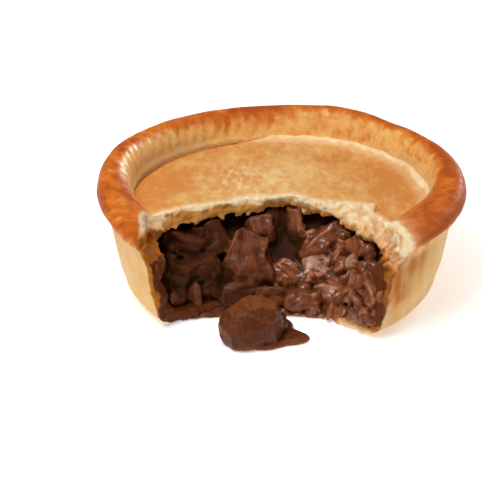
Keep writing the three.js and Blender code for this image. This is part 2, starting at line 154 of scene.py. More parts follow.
# Steak chunks of the filling: middle, size and turn in degrees, how light the meat is, and the side that its
# grain runs along. How light is partly painted light: 0 at the left, where the lid's shade falls, and over 1
# for pale pieces that stand partly for highlights.
Chunk = namedtuple("Chunk", "at size turn light grain", defaults=[0])
CHUNKS = [
    Chunk((-10.5, -11.5, 13.5), (15, 12, 18), (-40, 4, 8), 0.28, 2),
    Chunk((-7.2, -4, 21), (8.5, 8, 9), (-30, 10, 20), 0.3, 2),
    Chunk((5.1, -2.2, 21), (6, 6, 13), (-25, -6, 0), 0.5, 2),
    Chunk((-1.5, 0.5, 21), (8, 6, 10), (-30, 0, 0), 0.0, 2),
    Chunk((14.5, -8, 18), (16.5, 8, 9.5), (-35, -30, 12), 0.56),
    Chunk((2.1, -15.2, 9.8), (11, 6, 8), (-35, 25, -25), 0.85),
    Chunk((12.3, -15.2, 11.4), (10, 9.5, 5), (43, -11, 0), 1.4),
    Chunk((21, -15.5, 13.5), (9, 8, 9), (-20, 15, 30), 0.9),
    Chunk((26, -13, 18.5), (10, 9, 9), (-25, 20, 40), 0.95, 2),
    Chunk((18.2, -22.4, 6.2), (12, 8, 8), (-10, 10, -25), 1.15),
    Chunk((27, -28.3, 8), (5, 5, 10), (-25, 14, 10), 1.25, 2),
    Chunk((30, -25.5, 13), (8, 8, 12), (-25, -10, 35), 0.4, 2),
    Chunk((-31.5, -12, 18.5), (14, 11, 10), (-20, 12, -15), 0.0),
    Chunk((-23.5, -9.5, 18.5), (12, 10, 12), (-40, -6, 10), 0.0, 2),
    Chunk((-27, -18, 11.5), (14, 11, 11), (-15, -14, 25), 0.0),
    Chunk((-34, -22, 11), (10, 10, 13), (-25, 12, -20), 0.0),
    Chunk((-20.5, -18, 9), (11, 10, 11), (-35, 10, 0), 0.0, 2),
    Chunk((-22.4, -13.9, 15), (2.6, 2.8, 7), (-30, 8, 0), 0.8, 2),
    Chunk((-13, -20.3, 6.5), (12, 9, 9), (-20, 0, 15), 0.15),
    Chunk((-3, -22.3, 5.5), (10, 7, 7), (-20, 0, 15), 0.3),
    Chunk((8, -23.6, 4.5), (13, 7, 6), (-15, -6, -10), 0.5),
    Chunk((0.8, -21.6, 5), (4.5, 4, 3.5), (10, 0, 0), 1.4),
]

# A chunk starts as a cube of size 1, which is subdivided, rounded towards a ball, warped and cut. Its meat
# shows up to a share of its size from its middle, and its grain is set apart from that of the others.
CHUNK_SEED = 100
CHUNK_ROUNDNESS = 0.5
CHUNK_BALL_RADIUS = 0.6
CHUNK_WARP = 0.2
CHUNK_SUBDIVISIONS = 11
CHUNK_CUTS = 4
CHUNK_REACH = 0.56
GRAIN_SPACING = 50

# Shreds of steak on a tear: how many, where along the tear and how high, how far in front of it, how large,
# and how far the longest are drawn out.
Shreds = namedtuple("Shreds", "count tear shares heights fronts sizes longest")
SLOPE_SHREDS = [
    Shreds(45, FILLING_TEAR, (0.2, 0.86), (3, 21), (-1, 2.2), (2.2, 5.5), 1.8),
    Shreds(70, FILLING_TEAR, (0.66, 0.87), (3, 21), (-1, 2.2), (1.8, 5), 1.8),
]
WALL_SHREDS = Shreds(44, CASE_TEAR, (0.75, 0.865), (5, 21), (-0.6, 0.4), (1.8, 4.6), 1.6)
SHRED_SEED = 61

# The filling: how far its core keeps behind the slope of chunks, its highest reach, a spot of painted
# shadow in a gap of the slope, and how many points of the slope's line are worked out.
CORE_RECESS = 5
FILLING_CEILING = 26.9
PAINTED_SHADOW_SPOT = np.array((2.5, -7.5, 15.5))
SLOPE_POINTS = 200

# What counts as a dip in the meat, painted darker as shade, and as a ridge, painted paler as a highlight,
# in depths below the surroundings.
DIP = (0.04, 0.4)
BROAD_DIP = (0.1, 1.3)
RIDGE = (-0.05, -0.4)

# The spilled chunks, and the pool of gravy under them, with its runs: how far each reaches, its angle and
# how narrow it is.
SPILLED_CHUNKS = [
    Chunk((-9.4, -41.4, 7), (18.6, 12.5, 16.5), (-6, 0, 6), 0.2, 1),
    Chunk((-4, -36.5, 3.8), (10, 10, 9.5), (0, 30, 0), 0.15),
]
SPILLED_SEED = 71
SPILLED_ROUNDNESS = 0.6
SPILLED_WARP = 0.11
POOL_MIDDLE = (-7.5, -39.3)
POOL_RADIUS = 10
POOL_HEIGHT = 2.2
POOL_REACH = 10.6
POOL_LOBES = 0.8
POOL_SQUEEZE = 0.8
POOL_RUNS = [(7.4, 83, 14), (5, 150, 4)]

# Steps that each section is spun in, and the size of the even mesh that each piece then gets.
CASE_STEPS, CASE_VOXEL = 480, 0.6
LID_STEPS, LID_VOXEL = 360, 0.42
FILLING_STEPS, FILLING_VOXEL = 180, 0.45
POOL_STEPS, SPILL_VOXEL = 120, 0.32

# Square soft lights that face the pie: place and size in metres, and power in watts.
Light = namedtuple("Light", "name place size power")
LIGHTS = [
    Light("key", (-0.32, -0.34, 0.8), 0.4, 4.5),
    Light("overhead", (0.05, 0.05, 1.0), 1.0, 3.8),
    Light("back", (0.55, 0.84, 0.25), 0.32, 3.4),
]
FLOOR_SIZE = 6


def length(name, description, default):
    """A setting that is a length, with its default in millimetres."""
    return FloatProperty(
        name=name, description=description, default=default * MM, unit="LENGTH", precision=5,
    )


def colour(name, description, default):
    """A setting that is a colour."""
    return FloatVectorProperty(
        name=name, description=description, default=default, subtype="COLOR", min=0, max=1,
    )


class CaseSettings(bpy.types.PropertyGroup):
    """The pastry case: base, wall and crimped rim."""

    height: length("Height", "From the base to the rim's crest", 38.6)
    rim_radius: length("Rim radius", "From the axis to the rim's outer bulge", 60)
    wall_thickness: length("Wall thickness", "Pastry of the wall", 4.6)
    base_thickness: length("Base thickness", "Pastry of the base", 4)
    ribs: IntProperty(name="Ribs", description="Crimps round the rim's inner face", default=80)
    rib_depth: length("Rib depth", "How far a crimp stands in", 0.5)
    lip_lift: length("Lip lift", "How much higher the lip below the rim sits at the sides", 2.2)
    browned: colour("Browned", "The rim's crest", (0.44, 0.082, 0.009))
    toasted: colour("Toasted", "The rim's sides", (0.70, 0.18, 0.018))
    golden: colour("Golden", "The rim's inner face", (0.97, 0.56, 0.175))
    floury: colour("Floury", "The pale wall", (0.74, 0.455, 0.175))
    crumb: colour("Crumb", "Pastry where it is torn", (0.93, 0.79, 0.52))
    soaked: colour("Soaked", "Pastry that has taken up gravy", (0.50, 0.15, 0.016))
    gravy: colour("Gravy", "Gravy on the torn pastry", (0.12, 0.03, 0.008))


class LidSettings(bpy.types.PropertyGroup):
    """The sunken lid."""

    radius: length("Radius", "From the axis to the lid's edge", 49.7)
    thickness: length("Thickness", "Pastry of the lid at its edge", 3.8)
    dome: length("Dome", "How far the middle stands over the edge", 2.1)
    golden: colour("Golden", "Most of the lid", (0.75, 0.37, 0.105))
    pale: colour("Pale", "Patches that browned less", (0.82, 0.51, 0.19))
    toasted: colour("Toasted", "Patches that browned more", (0.66, 0.24, 0.045))
    crumb: colour("Crumb", "Pastry where it is torn", (0.93, 0.79, 0.52))
    floury: colour("Floury", "The lifted edge", (0.95, 0.75, 0.44))
    soaked: colour("Soaked", "Pastry that has taken up gravy", (0.55, 0.23, 0.04))
    gravy: colour("Gravy", "Gravy on the torn pastry", (0.12, 0.04, 0.012))


class FillingSettings(bpy.types.PropertyGroup):
    """The steak in gravy, and the chunk of it in front."""

    top: length("Top", "The filling's highest part, under the lid", 26.8)
    fibre_width: length("Fibre width", "From one fibre of the meat to the next", 1.1)
    meat: colour("Meat", "Cooked steak", (0.40, 0.11, 0.034))
    # Pale meat on ridges, partly a painted highlight.
    pale_meat_and_highlight: colour("Pale meat", "Fibres that stand out of the gravy", (0.54, 0.22, 0.12))
    # Pale pieces, partly painted highlights on glossy facets.
    fat_and_highlight: colour("Fat", "The palest pieces", (0.58, 0.33, 0.22))
    dark_meat: colour("Dark meat", "Between the fibres", (0.085, 0.02, 0.006))
    gravy: colour("Gravy", "Thick gravy", (0.13, 0.03, 0.007))
    # Painted shade: gravy darkened in dips, behind the slope, in one gap and on the chunks at the left.
    shaded_gravy: colour("Deep gravy", "Gravy in the gaps", (0.022, 0.006, 0.002))
    thin_gravy: colour("Thin gravy", "Gravy where it runs thin", (0.30, 0.075, 0.010))


class StageSettings(bpy.types.PropertyGroup):
    """Floor, lights and camera."""

    aim: FloatVectorProperty(name="Aim", description="What the camera looks at", default=(0, 0, 16 * MM),
                             subtype="TRANSLATION")
    distance: length("Distance", "From the camera to its aim", 600)
    elevation: FloatProperty(name="Elevation", description="How far the camera looks down",
                             default=math.radians(27.35), subtype="ANGLE")
    focal: FloatProperty(name="Focal length", description="Lens on a 36 mm sensor", default=135.06)
    shift: FloatVectorProperty(name="Shift", description="The picture's place on the sensor", size=2,
                               default=(-0.0806, -0.0121))
    floor: colour("Floor", "The pale floor", (0.97, 0.97, 0.97))
    floor_glow: FloatProperty(name="Floor glow", description="Light that the floor gives off", default=0.36)
    sky_glow: FloatProperty(name="Sky glow", description="Light from all round", default=0.2)


def deselect():
    """Leaves nothing selected, so that the next operator acts on a new piece alone."""
    bpy.ops.object.select_all(action="DESELECT")


def modify(piece, kind, **settings):
    """Adds a modifier to a piece and applies it."""
    modifier = piece.modifiers.new(kind.title(), kind)
    for name, value in settings.items():
        setattr(modifier, name, value)
    bpy.context.view_layer.objects.active = piece
    bpy.ops.object.modifier_apply(modifier=modifier.name)


def discard(piece):
    """Deletes a helper."""
    deselect()
    piece.select_set(True)
    bpy.ops.object.delete()


def join(piece, others):
    """Joins other pieces into one."""
    deselect()
    for part in (piece, *others):
        part.select_set(True)
    bpy.context.view_layer.objects.active = piece
    bpy.ops.object.join()


def read_places(piece, unit=MM):
    """The vertices' places, one row each, in millimetres or in another unit."""
    places = np.empty(len(piece.data.vertices) * 3)
    piece.data.vertices.foreach_get("co", places)
    return places.reshape(-1, 3) / unit


def set_places(piece, places, unit=MM):
    """Moves the vertices."""
    piece.data.vertices.foreach_set("co", (places * unit).ravel())
    piece.data.update()


def read_facings(piece):
    """The vertices' outward directions, one row each."""
    facings = np.empty(len(piece.data.vertices) * 3)
    piece.data.vertex_normals.foreach_get("vector", facings)
    return facings.reshape(-1, 3)


def paint(piece, name, values):
    """Keeps a number or a vector at each vertex, for the piece's finish."""
    kind, field = ("FLOAT", "value") if values.ndim == 1 else ("FLOAT_VECTOR", "vector")
    layer = piece.data.attributes.new(name, kind, "POINT")
    layer.data.foreach_set(field, values.astype(np.float32).ravel())


def polar(places):
    """Each place's radius, and its angle from the front in radians."""
    return np.hypot(places[:, 0], places[:, 1]), np.arctan2(places[:, 0], -places[:, 1])


def step(values, low, high):
    """A smooth step from 0 at low to 1 at high. Low may be the larger."""
    share = np.clip((values - low) / (high - low), 0, 1)
    return share * share * (3 - 2 * share)


def lumps(places, size, seed, octaves=1):
    """Smooth noise from about -1 to 1, with lumps of a size: one for all directions or one for each."""
    scaled = places / np.array(size) + np.array((3.7, 1.9, 7.3)) * (seed + 1)
    return np.array([noise.fractal(place, 1, 2, octaves) for place in scaled.tolist()])


def layered_lumps(places, *layers):
    """Layers of lumps, each with a size, a depth and a seed, added up."""
    return sum(depth * lumps(places, size, seed) for size, depth, seed in layers)


def waves_at(waves, angle):
    """Waves round the pie, added up."""
    return sum(swing * np.sin(count * angle + start) for swing, count, start in waves)


def round_the_rim(pairs, degrees):
    """A value at angles from the front, evened out between pairs of an angle and a value."""
    angles, values = zip(*pairs)
    turned = [np.interp(degrees + turn, angles, values, period=360) for turn in EVENING_ANGLES]
    return np.mean(turned, axis=0)


def bend(start, control, end, steps):
    """Points of a curve from start to end, without the start, that leaves and arrives towards control."""
    shares = np.linspace(0, 1, steps + 1)[1:, None]
    start, control, end = np.array(start), np.array(control), np.array(end)
    points = (1 - shares) ** 2 * start + 2 * shares * (1 - shares) * control + shares ** 2 * end
    return list(map(tuple, points))


def along(points, shares):
    """Points at shares from 0 to 1 of a smooth curve through the given points."""
    points = np.array(points)
    guided = np.vstack([2 * points[0] - points[1], points, 2 * points[-1] - points[-2]])
    place = np.clip(shares, 0, 1) * (len(points) - 1)
    first = np.minimum(place.astype(int), len(points) - 2)
    share = (place - first)[:, None]
    before, start, end, after = (guided[first + ahead] for ahead in range(4))
    bow = 2 * before - 5 * start + 4 * end - after
    twist = 3 * (start - end) + after - before
    return start + 0.5 * share * (end - before + share * (bow + share * twist))


def tear_places(tear, shares, heights):
    """Places on a tear, at shares of its width and at heights."""
    rise = np.clip((heights - tear.bottom) / (tear.top - tear.bottom), 0, 1)[:, None]
    plan = along(tear.below, shares) * (1 - rise) + along(tear.above, shares) * rise
    return np.column_stack([plan, heights])


def spun(name, section, steps):
    """A piece drawn as a section, from a single vertex on, and spun round the pie's axis."""
    deselect()
    bpy.ops.mesh.primitive_plane_add(size=MM)
    piece = bpy.context.object
    piece.name = name
    bpy.ops.object.mode_set(mode="EDIT")
    bpy.ops.mesh.select_all(action="SELECT")
    bpy.ops.mesh.merge(type="CENTER")
    bpy.ops.transform.translate(value=(section[0][0] * MM, 0, section[0][1] * MM))
    for start, end in zip(section, section[1:]):
        stretch = ((end[0] - start[0]) * MM, 0, (end[1] - start[1]) * MM)
        bpy.ops.mesh.extrude_region_move(TRANSFORM_OT_translate={"value": stretch})
    bpy.ops.mesh.select_all(action="SELECT")
    bpy.ops.mesh.spin(steps=steps, angle=math.tau, center=(0, 0, 0), axis=(0, 0, 1))
    bpy.ops.mesh.select_all(action="SELECT")
    bpy.ops.mesh.remove_doubles(threshold=0.01 * MM)
    bpy.ops.mesh.normals_make_consistent(inside=False)
    bpy.ops.object.mode_set(mode="OBJECT")
    return piece


def torn_away(tear):
    """What is gone in front of a tear, as a rough sheet extruded to the front, and a tree of the sheet."""
    deselect()
    bpy.ops.mesh.primitive_grid_add(x_subdivisions=TEAR_COLUMNS, y_subdivisions=TEAR_ROWS, size=1)
    gone = bpy.context.object
    flat = read_places(gone, unit=1)
    heights = TEAR_LOW + (flat[:, 1] + 0.5) * (TEAR_HIGH - TEAR_LOW)
    places = tear_places(tear, flat[:, 0] + 0.5, heights)
    for side in range(2):
        rough = layered_lumps(places, (6, 1, tear.seed + side), (2.6, 0.8, tear.seed + side + 2))
        places[:, side] += tear.roughness * rough
    set_places(gone, places)
    faces = [tuple(face.vertices) for face in gone.data.polygons]
    sheet = BVHTree.FromPolygons((places * MM).tolist(), faces)
    bpy.ops.object.mode_set(mode="EDIT")
    bpy.ops.mesh.select_all(action="SELECT")
    bpy.ops.mesh.extrude_region_move(TRANSFORM_OT_translate={"value": (0, -TEAR_REACH * MM, 0)})
    bpy.ops.mesh.select_all(action="SELECT")
    bpy.ops.mesh.normals_make_consistent(inside=False)
    bpy.ops.object.mode_set(mode="OBJECT")
    return gone, sheet


def tear_off(piece, tear, operation="DIFFERENCE"):
    """Keeps what is behind a tear, or with INTERSECT what is in front of it. Returns the tear's sheet."""
    gone, sheet = torn_away(tear)
    modify(piece, "BOOLEAN", operation=operation, object=gone, solver="EXACT")
    discard(gone)
    return sheet


def distances(places, sheet):
    """How far each place is from a tear's sheet."""
    return np.array([sheet.find_nearest(place)[3] for place in (places * MM).tolist()]) / MM


def hollows(piece, passes):
    """How far each vertex lies below its surroundings, which are evened out over a number of passes."""
    places = read_places(piece)
    ends = np.empty(len(piece.data.edges) * 2, int)
    piece.data.edges.foreach_get("vertices", ends)
    ends = ends.reshape(-1, 2)
    starts, ends = np.vstack([ends, ends[:, ::-1]]).T
    shares = 1 / np.maximum(np.bincount(starts, minlength=len(places)), 1)
    evened = places
    for _ in range(passes):
        sums = [np.bincount(starts, side[ends], len(places)) for side in evened.T]
        evened = np.column_stack(sums) * shares[:, None]
    return np.sum((evened - places) * read_facings(piece), axis=1)


def even_out(piece, voxel, smoothing):
    """Gives a piece an even, fine mesh."""
    modify(piece, "REMESH", mode="VOXEL", voxel_size=voxel * MM, use_smooth_shade=True)
    modify(piece, "SMOOTH", factor=0.5, iterations=smoothing)


def thin_out(piece):
    """Keeps a piece within its number of triangles."""
    triangles = sum(len(face.vertices) - 2 for face in piece.data.polygons)
    if triangles > PIECE_TRIANGLES:
        modify(piece, "DECIMATE", ratio=PIECE_TRIANGLES / triangles)


def crumb_spots(tear, draws, lowest, highest):
    """Spots for crumbs all over a tear, between two heights."""
    shares = draws.uniform(0, 1, CRUMB_TRIES)
    return tear_places(tear, shares, draws.uniform(lowest, highest, CRUMB_TRIES))


def add_crumbs(spots, sizes, seed):
    """Crumbs at given spots: one is modelled from a ball, and copies of it are sized and turned."""
    deselect()
    bpy.ops.mesh.primitive_ico_sphere_add(subdivisions=2, radius=0.5)
    crumbs = bpy.context.object
    shape = read_places(crumbs, unit=1)
    shape *= 1 + 0.8 * lumps(shape, 0.5, seed)[:, None]
    faces = np.array([face.vertices[:] for face in crumbs.data.polygons])
    draws = np.random.default_rng(seed)
    places, corners = [], []
    for number, (spot, size) in enumerate(zip(spots, sizes)):
        turn = np.array(Euler(draws.uniform(0, math.tau, 3)).to_matrix())
        places.append((shape * size * draws.uniform(0.6, 1.3, 3)) @ turn + spot)
        corners.append(faces + number * len(shape))
    crumbs.data.clear_geometry()
    crumbs.data.from_pydata((np.vstack(places) * MM).tolist(), [], np.vstack(corners).tolist())
    return crumbs


def add_chunk(chunk, seed, roundness=CHUNK_ROUNDNESS, warp=CHUNK_WARP):
    """A chunk of steak: a cube, subdivided, rounded, warped, cut here and there and set in its place."""
    deselect()
    bpy.ops.mesh.primitive_cube_add(size=1)
    piece = bpy.context.object
    bpy.ops.object.mode_set(mode="EDIT")
    bpy.ops.mesh.select_all(action="SELECT")
    bpy.ops.mesh.subdivide(number_cuts=CHUNK_SUBDIVISIONS)
    bpy.ops.object.mode_set(mode="OBJECT")
    places = read_places(piece, unit=1)
    reach = np.linalg.norm(places, axis=1, keepdims=True)
    places += roundness * (places / reach * CHUNK_BALL_RADIUS - places)
    broad = np.column_stack([lumps(places, 0.7, seed + side) for side in range(3)])
    finer = np.column_stack([lumps(places, 0.3, seed + 3 + side) for side in range(3)])
    places += warp * (broad + 0.4 * finer)
    draws = np.random.default_rng(seed)
    for _ in range(CHUNK_CUTS):
        facing = draws.normal(size=3)
        facing /= np.linalg.norm(facing)
        over = np.maximum(places @ facing - draws.uniform(0.36, 0.48), 0)
        places -= 0.75 * over[:, None] * facing
    set_places(piece, places, unit=1)
    piece.scale = np.array(chunk.size) * MM
    piece.rotation_euler = [math.radians(turn) for turn in chunk.turn]
    piece.location = np.array(chunk.at) * MM
    bpy.ops.object.transform_apply(location=True, rotation=True, scale=True)
    return piece


def grain_of(places, chunks):
    """Each place in its nearest chunk's axes, how near it is (under 1 inside), and that chunk's number."""
    nearest = np.full(len(places), np.inf)
    owner = np.zeros(len(places), int)
    grain = places.copy()
    for number, chunk in enumerate(chunks):
        turn = np.array(Euler([math.radians(part) for part in chunk.turn]).to_matrix())
        own = (places - np.array(chunk.at)) @ turn
        reach = np.linalg.norm(own / (np.array(chunk.size) * CHUNK_REACH), axis=1)
        closer = reach < nearest
        nearest[closer] = reach[closer]
        owner[closer] = number
        grain[closer] = np.roll(own[closer], -chunk.grain, axis=1) + GRAIN_SPACING * number
    return grain, nearest, owner


def fray(piece, chunks, settings, split, fibre_depth):
    """Splits chunks into bundles and fibres, each to a depth, and marks meat, its grain and its lightness,
    which carries painted shade and highlights.
    """
    places, facings = read_places(piece), read_facings(piece)
    grain, nearest, owner = grain_of(places, chunks)
    width = settings.fibre_width / MM
    meat = step(nearest, 1.2, 0.98)
    bundles = -np.abs(lumps(grain, np.array((5, 1, 1)) * 3 * width, 22))
    fibres = lumps(grain, np.array((8, 1, 1)) * width, 23, octaves=2)
    ragged = layered_lumps(places, (4, 0.35, 24), (1.7, 0.16, 25))
    depth = np.array([min(split, 0.1 * min(chunk.size)) for chunk in chunks])[owner]
    lift = meat * (depth * bundles + fibre_depth * fibres) + ragged
    set_places(piece, places + facings * lift[:, None])
    paint(piece, "meat", meat)
    paint(piece, "grain", grain)
    paint(piece, "light", np.array([chunk.light for chunk in chunks])[owner])


def hand_over(piece, finish, slot, *nodes):
    """Gives a piece its finish, and its place in the frame."""
    deselect()
    piece.select_set(True)
    bpy.context.view_layer.objects.active = piece
    bpy.ops.object.shade_smooth()
    piece.data.materials.clear()
    piece.data.materials.append(finish)
    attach(piece, "root")
    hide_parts(*nodes)


def between(low, high, share):
    """A colour at a share of the way from one to another."""
    return [start + share * (end - start) for start, end in zip(low, high)]


class Link:
    """A node's output. Arithmetic on numbers adds Math nodes."""

    def __init__(self, finish, socket):
        self.finish = finish
        self.socket = socket

    def math(self, operation, *others):
        return self.finish.node("ShaderNodeMath", {"operation": operation}, dict(enumerate((self, *others))))

    def __add__(self, other):
        return self.math("ADD", other)

    def __sub__(self, other):
        return self.math("SUBTRACT", other)

    def __mul__(self, other):
        return self.math("MULTIPLY", other)

    def __pow__(self, other):
        return self.math("POWER", other)

    def __rsub__(self, other):
        return self.finish.node("ShaderNodeMath", {"operation": "SUBTRACT"}, {0: other, 1: self})

    __radd__ = __add__
    __rmul__ = __mul__


class Finish:
    """A material, put together from nodes. Its patterns read the pie's own coordinates, in millimetres."""

    def __init__(self, name):
        self.material = bpy.data.materials.new(name)
        self.material.use_nodes = True
        self.tree = self.material.node_tree
        self.shader = self.tree.nodes["Principled BSDF"]
        metres = self.node("ShaderNodeTexCoord", output=3)
        self.place = self.node("ShaderNodeVectorMath", {"operation": "SCALE"}, {0: metres, "Scale": 1 / MM})

    def node(self, kind, settings=None, sockets=None, output=0):
        """Adds a node. Its settings are set first, then the values or links of its sockets."""
        made = self.tree.nodes.new(kind)
        for name, value in (settings or {}).items():
            if name == "stops":
                self.set_stops(made.color_ramp, value)
            else:
                setattr(made, name, value)
        self.fill(made, sockets or {})
        return Link(self, [socket for socket in made.outputs if socket.enabled][output])

    def fill(self, node, sockets):
        """Sets or links a node's sockets, by name or by number."""
        for key, value in sockets.items():
            if isinstance(key, int):
                socket = node.inputs[key]
            else:
                socket = next(s for s in node.inputs if s.enabled and s.name == key)
            if isinstance(value, Link):
                self.tree.links.new(value.socket, socket)
            elif socket.type == "RGBA":
                socket.default_value = (*value, 1)
            else:
                socket.default_value = value

    def set_stops(self, ramp, stops):
        """Gives a ramp its colours, as pairs of place and colour."""
        while len(ramp.elements) < len(stops):
            ramp.elements.new(0.5)
        for element, (place, shade) in zip(ramp.elements, stops):
            element.position = place
            element.color = (*shade, 1)

    def parts(self, vector):
        """A vector's three numbers."""
        split = self.node("ShaderNodeSeparateXYZ", sockets={0: vector}).socket.node
        return [Link(self, part) for part in split.outputs]

    def painted(self, name):
        """A number that the piece holds at each vertex."""
        return self.node("ShaderNodeAttribute", {"attribute_name": name}, output=2)

    def step(self, value, low, high):
        """A smooth step from 0 at low to 1 at high."""
        return self.node("ShaderNodeMapRange", {"interpolation_type": "SMOOTHSTEP"},
                         {"Value": value, "From Min": low, "From Max": high})

    def mottle(self, size, seed, detail=2, stretch=(1, 1, 1), low=0.36, high=0.64, place=None):
        """Noise from 0 to 1 with patches of a size, drawn out by stretch."""
        scaled = self.node("ShaderNodeVectorMath", {"operation": "MULTIPLY_ADD"}, {
            0: place or self.place,
            1: [1 / (size * part) for part in stretch],
            2: [seed * part for part in (3.1, 5.7, 7.9)],
        })
        grain = self.node("ShaderNodeTexNoise", {}, {"Vector": scaled, "Scale": 1, "Detail": detail})
        return self.node("ShaderNodeMapRange", {}, {"Value": grain, "From Min": low, "From Max": high})

    def coats(self, base, *coats):
        """A colour under coats, each of them a share and a colour."""
        for share, shade in coats:
            mixed = {"Factor": share, "A": base, "B": shade}
            base = self.node("ShaderNodeMix", {"data_type": "RGBA"}, mixed)
        return base

    def ramp(self, value, *stops):
        """A colour that follows a number, through pairs of place and colour."""
        return self.node("ShaderNodeValToRGB", {"stops": stops}, {0: value})

    def relief(self, height, depth):
        """The facing of a surface with a fine relief: a height of 0 to 1, and the depth it stands for."""
        return self.node("ShaderNodeBump", {}, {"Height": height, "Distance": depth * MM})

    def surface(self, **sockets):
        """Sets the shader's sockets, with their names' spaces as underscores."""
        self.fill(self.shader, {name.replace("_", " "): value for name, value in sockets.items()})
        return self.material


def case_finish(case):
    """Baked shortcrust: browned rim, pale wall, cream crumb where torn, soaked with gravy lower down."""
    finish = Finish("baked_case")
    x, y, z = finish.parts(finish.place)
    radius = (x * x + y * y) ** 0.5
    around = x.math("ARCTAN2", y) * (case.rim_radius / MM)
    unrolled = finish.node("ShaderNodeCombineXYZ", {}, {0: around, 1: radius, 2: z})
    broad = finish.mottle(15, 1)
    patchy = finish.mottle(4, 2, detail=3)
    fine = finish.mottle(0.9, 3, detail=3)
    licks = finish.mottle(1.7, 6, detail=3, stretch=(1, 5, 5), place=unrolled)
    left = finish.step(x, -15, -45)
    right = finish.step(x, -20, 50)
    face = finish.painted("face")
    torn = finish.painted("torn")

    # How far it is baked: most on the rim's crest, less on the rim's inner face, least on the wall.
    raised = finish.step(x.math("ABSOLUTE"), 10, 45)
    rim = finish.step(z + patchy * 1.6 - raised * 4, 23, 31.5)
    bare = face - finish.painted("browned") + (licks - 0.5) * (0.16 + 0.14 * left) + (broad - 0.5) * 0.1
    inner = finish.step(bare, -0.36, 0.36) * finish.step(face, 0.02, 0.2)
    low = finish.step(z, 38, 31) * left
    blotches = ((broad - 0.5) * 0.38 + (patchy - 0.5) * 0.28) * (1 - 0.7 * inner)
    bake = rim * (0.86 + 0.06 * right - 0.22 * low + blotches) - inner * (0.6 + 0.08 * left - 0.12 * patchy)
    bake = bake + (fine - 0.5) * 0.06 + (licks - 0.5) * 0.12 * inner
    crust = finish.ramp(
        bake, (0.0, case.floury), (0.3, case.golden), (0.64, case.toasted), (1.0, case.browned),
    )

    # The wall's streaks, and the gravy that came through it by the tear.
    streaks = finish.mottle(3.6, 4, detail=3, stretch=(1, 1, 5), low=0.35, high=0.65)
    wall = finish.coats(
        crust,
        ((streaks * 0.4 + broad * 0.2) * (1 - rim), case.golden),
        ((1 - streaks) * (1 - rim) * 0.35, case.crumb),
        (finish.painted("soak") * (0.5 + 0.5 * streaks), case.soaked),
        (finish.painted("edge"), between(case.golden, case.crumb, 0.5)),
    )

    # Crumb where it is torn, painted darker at the left as shade, and the gravy on it.
    pits = finish.mottle(1.5, 5, detail=4)
    gravy = finish.painted("gravy") + (pits - 0.5) * 0.14
    crumb = finish.coats(
        between(case.crumb, case.golden, 0.4),
        (pits, case.crumb),
        # painted shade on the crumb at the left, in the gravy's colour
        (left * 0.3, case.gravy),
        (finish.step(gravy, 0.1, 0.5), case.soaked),
        (finish.step(gravy, 0.4, 0.9), case.gravy),
    )

    # Egg wash on the rim's inner face, most of it at the left.
    glaze = finish.step(z, 30, 34) * (1 - torn) * finish.step(face, 0.2, 0.5) * (0.15 + 0.85 * left)
    glaze = glaze * finish.step(y, -12, 2)
    rough = 0.62 - 0.2 * rim + (fine - 0.5) * 0.16 + torn * (0.25 - 0.5 * gravy)
    return finish.surface(
        Base_Color=finish.coats(wall, (torn, crumb)), Roughness=rough, Specular_IOR_Level=0.07,
        Coat_Weight=glaze, Coat_Roughness=0.36, Normal=finish.relief(fine * 0.5 + patchy * 0.5, 0.12),
    )


def lid_finish(lid):
    """Egg-washed crust: golden and mottled, cream crumb where torn, stained by gravy below."""
    finish = Finish("golden_lid")
    x = finish.parts(finish.place)[0]
    broad = finish.mottle(17, 11)
    patchy = finish.mottle(4.5, 12, detail=4, stretch=(1, 1.7, 1))
    blotchy = finish.mottle(2, 16, detail=4, stretch=(1, 1.7, 1))
    fine = finish.mottle(0.9, 13, detail=3)
    torn = finish.painted("torn")

    # How far it is baked: more at the sides, and in patches.
    sides = finish.step(x.math("ABSOLUTE"), 12, 45)
    bake = 0.48 + sides * 0.42 + (broad - 0.5) * 0.4 + (patchy - 0.5) * 0.42
    bake = bake + (blotchy - 0.5) * 0.32 + (fine - 0.5) * 0.2

    # Pale flecks near the middle, and the floury edge.
    aside = finish.node("ShaderNodeVectorMath", {"operation": "DISTANCE"}, {0: finish.place, 1: FLECKED})
    flecks = finish.mottle(1.9, 17, detail=4, stretch=(1, 1.8, 1), low=0.47, high=0.66)
    crust = finish.coats(
        finish.ramp(bake, (0.05, lid.pale), (0.5, lid.golden), (1.0, lid.toasted)),
        (flecks * finish.step(aside, 20, 7) * 0.5, lid.floury),
        (finish.painted("edge") * (0.6 + 0.4 * patchy), lid.floury),
    )

    # Crumb where it is torn, and the gravy that it has taken up.
    pits = finish.mottle(1.5, 15, detail=4)
    soak = finish.painted("soak")
    crumb = finish.coats(
        between(lid.crumb, lid.golden, 0.6),
        (pits, lid.crumb),
        (finish.step(soak, 0.0, 0.5), lid.soaked),
        (finish.step(soak, 0.5, 1.0), lid.gravy),
    )
    rough = 0.5 + (fine - 0.5) * 0.2 + torn * 0.35
    return finish.surface(
        Base_Color=finish.coats(crust, (torn, crumb)), Roughness=rough, Specular_IOR_Level=0.3,
        Normal=finish.relief(fine * 0.5 + patchy * 0.5, 0.1),
    )


